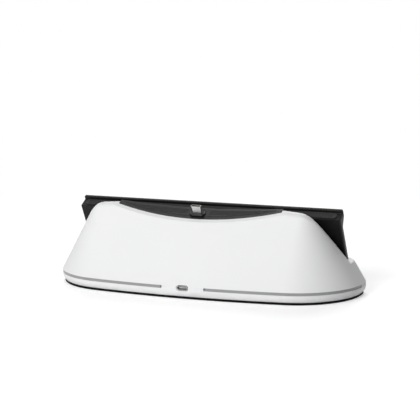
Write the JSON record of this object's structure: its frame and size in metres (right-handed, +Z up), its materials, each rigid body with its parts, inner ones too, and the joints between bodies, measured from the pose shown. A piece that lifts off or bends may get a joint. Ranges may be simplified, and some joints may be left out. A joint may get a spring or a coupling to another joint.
{
  "type": "handheld console dock",
  "caption": "Wide white charging stand with a sloping rear, light strips round its rear corners, a power inlet, and a black leaning panel, shelf and seat with a charging plug in front.",
  "frame": {"origin": "middle of the footprint on the table, under the feet", "axes": "+X along the dock's width to the right when seen from the front, +Y to the rear with the power inlet, +Z up; the front faces -Y"},
  "size_m": [0.25, 0.0886, 0.0684],
  "materials": {
    "white_plastic": "fine satin moulding",
    "black_plastic": "fine matt moulding",
    "rubber": "matt",
    "silicone": "soft matt",
    "diffuser": "milky, unlit",
    "circuit_board": "solder mask",
    "lamp": "clear cast",
    "chip_plastic": "moulded",
    "steel": "bright stamped"
  },
  "bodies": {
    "root": {"upper_shell": "white_plastic", "lower_shell": "white_plastic", "base_plate": "black_plastic", "rubber_feet": "rubber", "front_panel": "black_plastic", "panel_frame": "black_plastic", "saddle": "black_plastic", "seat_pad": "silicone", "shelf_pad": "silicone", "light_strip_left": "diffuser", "light_strip_right": "diffuser", "led_board_left": "circuit_board", "led_board_right": "circuit_board", "leds_left": "lamp", "leds_right": "lamp", "main_board": "circuit_board", "board_parts": "chip_plastic", "inlet_shell": "steel", "inlet_tongue": "black_plastic", "plug_carrier": "black_plastic", "plug_shell": "steel", "plug_core": "black_plastic", "plug_board": "circuit_board", "plug_lead": "rubber", "case_screws": "steel", "board_screws": "steel", "carrier_screws": "steel"}
  },
  "joints": []
}
